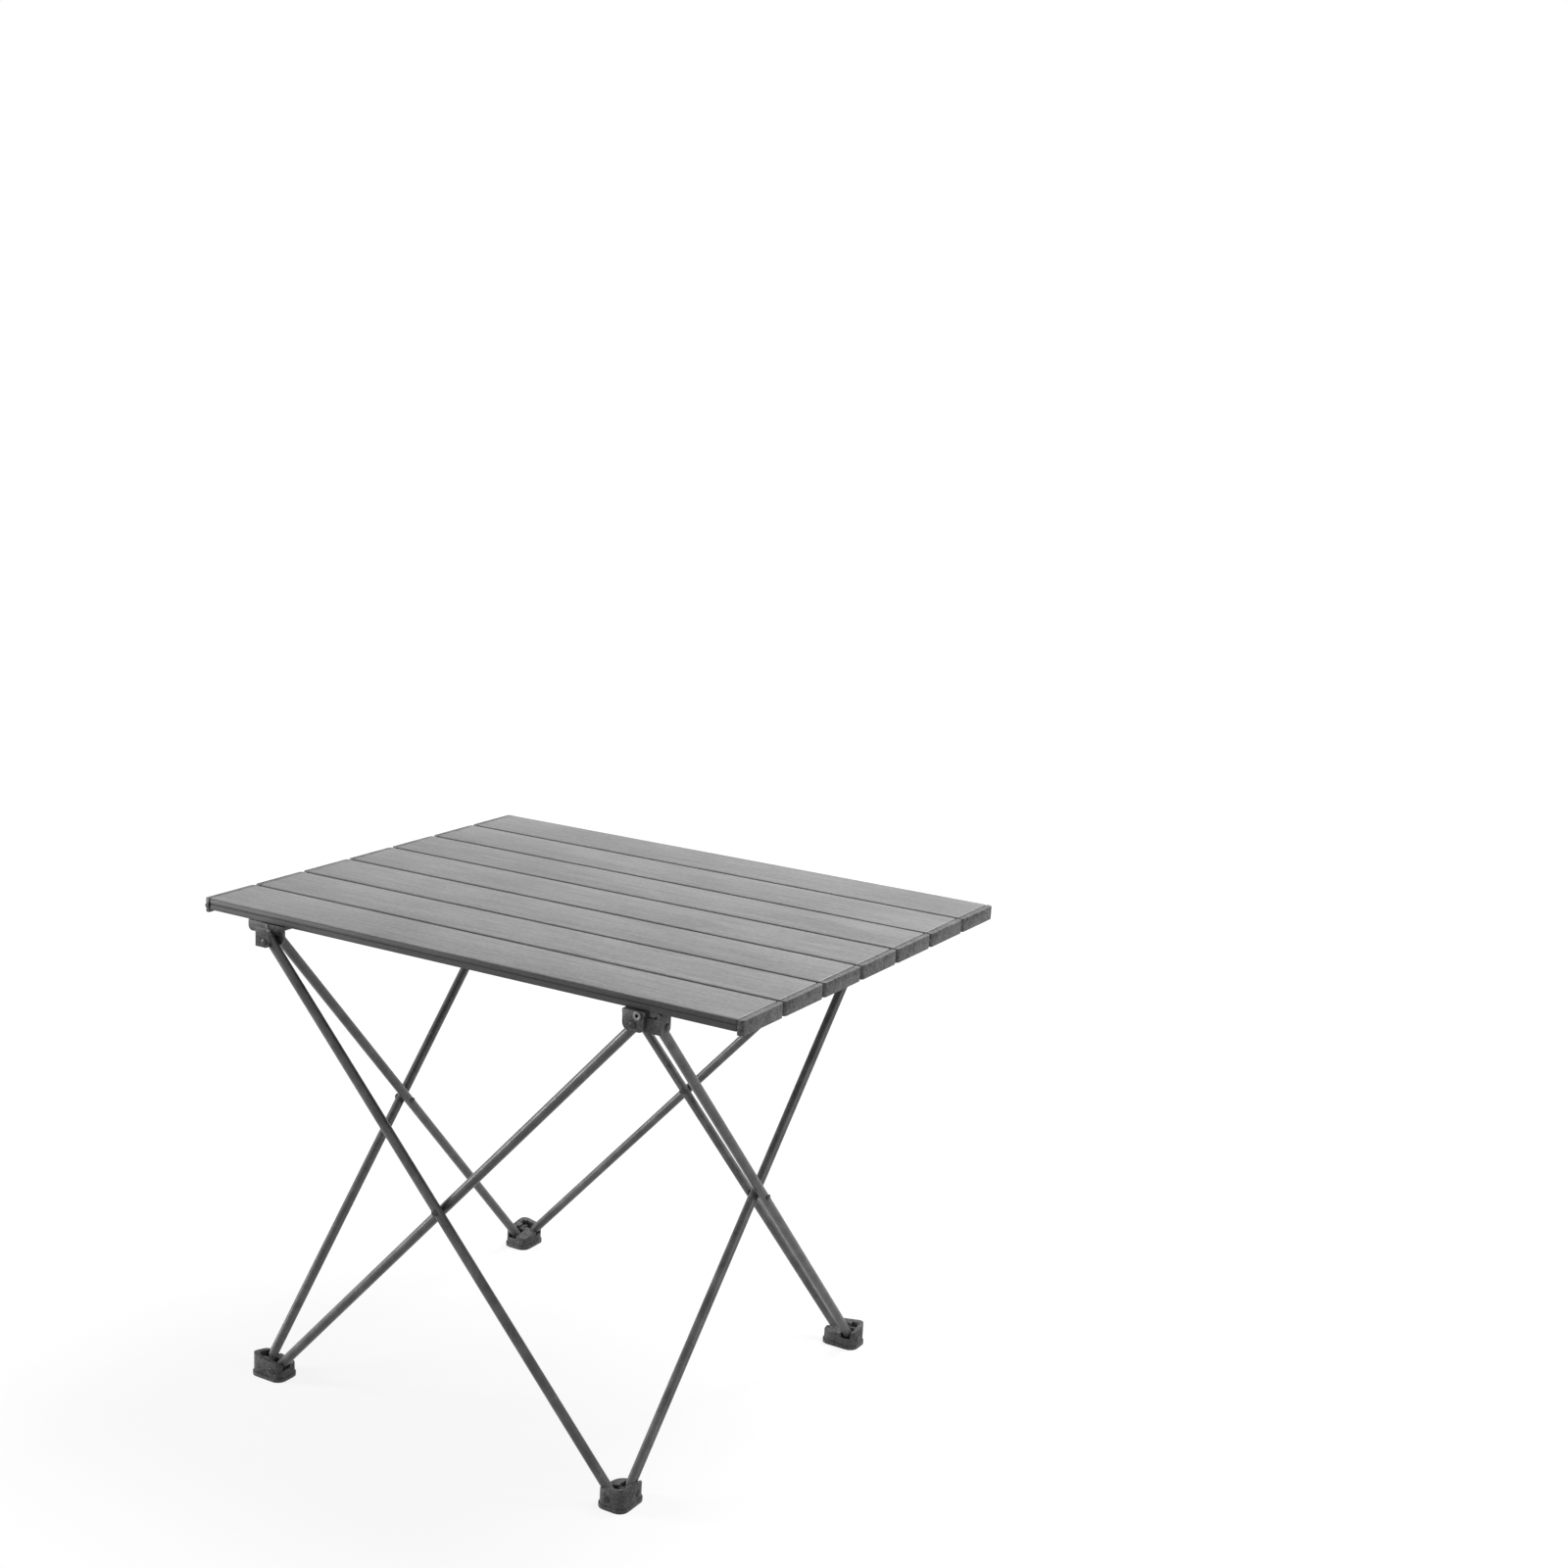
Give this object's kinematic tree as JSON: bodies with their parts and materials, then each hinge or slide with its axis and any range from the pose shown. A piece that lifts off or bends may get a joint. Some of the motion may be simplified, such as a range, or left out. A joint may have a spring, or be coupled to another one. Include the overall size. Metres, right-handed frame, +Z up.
{
  "type": "folding camp table",
  "caption": "Low roll-top folding camp table: hinged aluminium slats with plastic end caps on a square frame of crossed tubes that folds up on pivots, with plastic hubs and feet.",
  "frame": {"origin": "on the floor, at the middle of the bounding box seen from above", "axes": "+Z up; +X to the right along the slats; +Y from the front edge to the back"},
  "size_m": [0.51, 0.4336, 0.406],
  "materials": {
    "slat_aluminium": "brushed",
    "cap_plastic": "moulded",
    "tube_paint": "dark, satin",
    "hub_plastic": "moulded",
    "foot_plastic": "moulded",
    "rivet_steel": "satin"
  },
  "bodies": {
    "base": {"hub_front_left": "hub_plastic", "rivet_hub_outer_front_left": "rivet_steel", "rivet_hub_inner_front_left": "rivet_steel"},
    "outer_front": {"tube_outer_front": "tube_paint", "rivet_cross_front": "rivet_steel"},
    "inner_front": {"tube_inner_front": "tube_paint"},
    "outer_right": {"tube_outer_right": "tube_paint", "rivet_cross_right": "rivet_steel"},
    "inner_right": {"tube_inner_right": "tube_paint"},
    "outer_back": {"tube_outer_back": "tube_paint", "rivet_cross_back": "rivet_steel"},
    "inner_back": {"tube_inner_back": "tube_paint"},
    "outer_left": {"tube_outer_left": "tube_paint", "rivet_cross_left": "rivet_steel"},
    "inner_left": {"tube_inner_left": "tube_paint"},
    "hub_front_right": {"hub_front_right": "hub_plastic", "rivet_hub_outer_front_right": "rivet_steel", "rivet_hub_inner_front_right": "rivet_steel"},
    "hub_back_right": {"hub_back_right": "hub_plastic", "rivet_hub_outer_back_right": "rivet_steel", "rivet_hub_inner_back_right": "rivet_steel"},
    "hub_back_left": {"hub_back_left": "hub_plastic", "rivet_hub_outer_back_left": "rivet_steel", "rivet_hub_inner_back_left": "rivet_steel"},
    "foot_front_left": {"foot_front_left": "foot_plastic", "rivet_foot_outer_front_left": "rivet_steel", "rivet_foot_inner_front_left": "rivet_steel"},
    "foot_front_right": {"foot_front_right": "foot_plastic", "rivet_foot_outer_front_right": "rivet_steel", "rivet_foot_inner_front_right": "rivet_steel"},
    "foot_back_right": {"foot_back_right": "foot_plastic", "rivet_foot_outer_back_right": "rivet_steel", "rivet_foot_inner_back_right": "rivet_steel"},
    "foot_back_left": {"foot_back_left": "foot_plastic", "rivet_foot_outer_back_left": "rivet_steel", "rivet_foot_inner_back_left": "rivet_steel"},
    "slat_1": {"slat_1": "slat_aluminium", "cap_left_1": "cap_plastic", "cap_right_1": "cap_plastic", "rail_front": "hub_plastic", "clip_front_left": "hub_plastic"},
    "slat_2": {"slat_2": "slat_aluminium", "cap_left_2": "cap_plastic", "cap_right_2": "cap_plastic"},
    "slat_3": {"slat_3": "slat_aluminium", "cap_left_3": "cap_plastic", "cap_right_3": "cap_plastic"},
    "slat_4": {"slat_4": "slat_aluminium", "cap_left_4": "cap_plastic", "cap_right_4": "cap_plastic"},
    "slat_5": {"slat_5": "slat_aluminium", "cap_left_5": "cap_plastic", "cap_right_5": "cap_plastic"},
    "slat_6": {"slat_6": "slat_aluminium", "cap_left_6": "cap_plastic", "cap_right_6": "cap_plastic"},
    "slat_7": {"slat_7": "slat_aluminium", "cap_left_7": "cap_plastic", "cap_right_7": "cap_plastic", "rail_back": "hub_plastic"}
  },
  "joints": [
    {"name": "fold", "type": "hinge", "parent": "base", "child": "outer_front", "pos_m": [-0.179, -0.20738, 0.385], "axis": [0, 1, 0], "range_deg": [0, 38]},
    {"name": "cross_front", "type": "hinge", "parent": "outer_front", "child": "inner_front", "pos_m": [-0.007, -0.19837, 0.197], "axis": [0, -1, 0], "range_deg": [0, 76]},
    {"name": "hub_front_right_pivot", "type": "hinge", "parent": "inner_front", "child": "hub_front_right", "pos_m": [0.165, -0.19837, 0.385], "axis": [0, 1, 0], "range_deg": [0, 38]},
    {"name": "foot_front_right_pivot", "type": "hinge", "parent": "outer_front", "child": "foot_front_right", "pos_m": [0.165, -0.20738, 0.009], "axis": [0, -1, 0], "range_deg": [0, 38]},
    {"name": "foot_front_left_pivot", "type": "hinge", "parent": "inner_front", "child": "foot_front_left", "pos_m": [-0.179, -0.19837, 0.009], "axis": [0, 1, 0], "range_deg": [0, 38]},
    {"name": "inner_left_pivot", "type": "hinge", "parent": "base", "child": "inner_left", "pos_m": [-0.1845, -0.19287, 0.385], "axis": [-1, 0, 0], "range_deg": [0, 38]},
    {"name": "cross_left", "type": "hinge", "parent": "inner_left", "child": "outer_left", "pos_m": [-0.1935, -0.02088, 0.197], "axis": [1, 0, 0], "range_deg": [0, 76]},
    {"name": "hub_back_left_pivot", "type": "hinge", "parent": "outer_left", "child": "hub_back_left", "pos_m": [-0.1935, 0.15113, 0.385], "axis": [-1, 0, 0], "range_deg": [0, 38]},
    {"name": "foot_back_left_pivot", "type": "hinge", "parent": "inner_left", "child": "foot_back_left", "pos_m": [-0.1845, 0.15113, 0.009], "axis": [1, 0, 0], "range_deg": [0, 38]},
    {"name": "outer_right_pivot", "type": "hinge", "parent": "hub_front_right", "child": "outer_right", "pos_m": [0.1795, -0.19287, 0.385], "axis": [-1, 0, 0], "range_deg": [0, 38]},
    {"name": "cross_right", "type": "hinge", "parent": "outer_right", "child": "inner_right", "pos_m": [0.1705, -0.02088, 0.197], "axis": [1, 0, 0], "range_deg": [0, 76]},
    {"name": "hub_back_right_pivot", "type": "hinge", "parent": "inner_right", "child": "hub_back_right", "pos_m": [0.1705, 0.15113, 0.385], "axis": [-1, 0, 0], "range_deg": [0, 38]},
    {"name": "foot_back_right_pivot", "type": "hinge", "parent": "outer_right", "child": "foot_back_right", "pos_m": [0.1795, 0.15113, 0.009], "axis": [1, 0, 0], "range_deg": [0, 38]},
    {"name": "inner_back_pivot", "type": "hinge", "parent": "hub_back_left", "child": "inner_back", "pos_m": [-0.179, 0.15662, 0.385], "axis": [0, 1, 0], "range_deg": [0, 38]},
    {"name": "cross_back", "type": "hinge", "parent": "inner_back", "child": "outer_back", "pos_m": [-0.007, 0.16562, 0.197], "axis": [0, -1, 0], "range_deg": [0, 76]},
    {"name": "top_lift", "type": "slide", "parent": "base", "child": "slat_1", "axis": [0, 0, 1], "range_m": [0, 0.08]},
    {"name": "roll", "type": "hinge", "parent": "slat_1", "child": "slat_2", "pos_m": [0, -0.14288, 0.406], "axis": [1, 0, 0], "range_deg": [0, 50]},
    {"name": "roll_3", "type": "hinge", "parent": "slat_2", "child": "slat_3", "pos_m": [0, -0.08288, 0.406], "axis": [1, 0, 0], "range_deg": [0, 50]},
    {"name": "roll_4", "type": "hinge", "parent": "slat_3", "child": "slat_4", "pos_m": [0, -0.02287, 0.406], "axis": [1, 0, 0], "range_deg": [0, 50]},
    {"name": "roll_5", "type": "hinge", "parent": "slat_4", "child": "slat_5", "pos_m": [0, 0.03712, 0.406], "axis": [1, 0, 0], "range_deg": [0, 50]},
    {"name": "roll_6", "type": "hinge", "parent": "slat_5", "child": "slat_6", "pos_m": [0, 0.09713, 0.406], "axis": [1, 0, 0], "range_deg": [0, 50]},
    {"name": "roll_7", "type": "hinge", "parent": "slat_6", "child": "slat_7", "pos_m": [0, 0.15712, 0.406], "axis": [1, 0, 0], "range_deg": [0, 50]}
  ],
  "couplings": [
    {"joint": "cross_front", "follows": "fold", "ratio": 2},
    {"joint": "hub_front_right_pivot", "follows": "fold", "ratio": 1},
    {"joint": "foot_front_right_pivot", "follows": "fold", "ratio": 1},
    {"joint": "foot_front_left_pivot", "follows": "fold", "ratio": 1},
    {"joint": "inner_left_pivot", "follows": "fold", "ratio": 1},
    {"joint": "cross_left", "follows": "fold", "ratio": 2},
    {"joint": "hub_back_left_pivot", "follows": "fold", "ratio": 1},
    {"joint": "foot_back_left_pivot", "follows": "fold", "ratio": 1},
    {"joint": "outer_right_pivot", "follows": "fold", "ratio": 1},
    {"joint": "cross_right", "follows": "fold", "ratio": 2},
    {"joint": "hub_back_right_pivot", "follows": "fold", "ratio": 1},
    {"joint": "foot_back_right_pivot", "follows": "fold", "ratio": 1},
    {"joint": "inner_back_pivot", "follows": "fold", "ratio": 1},
    {"joint": "cross_back", "follows": "fold", "ratio": 2},
    {"joint": "roll_3", "follows": "roll", "ratio": 1},
    {"joint": "roll_4", "follows": "roll", "ratio": 1},
    {"joint": "roll_5", "follows": "roll", "ratio": 1},
    {"joint": "roll_6", "follows": "roll", "ratio": 1},
    {"joint": "roll_7", "follows": "roll", "ratio": 1}
  ]
}
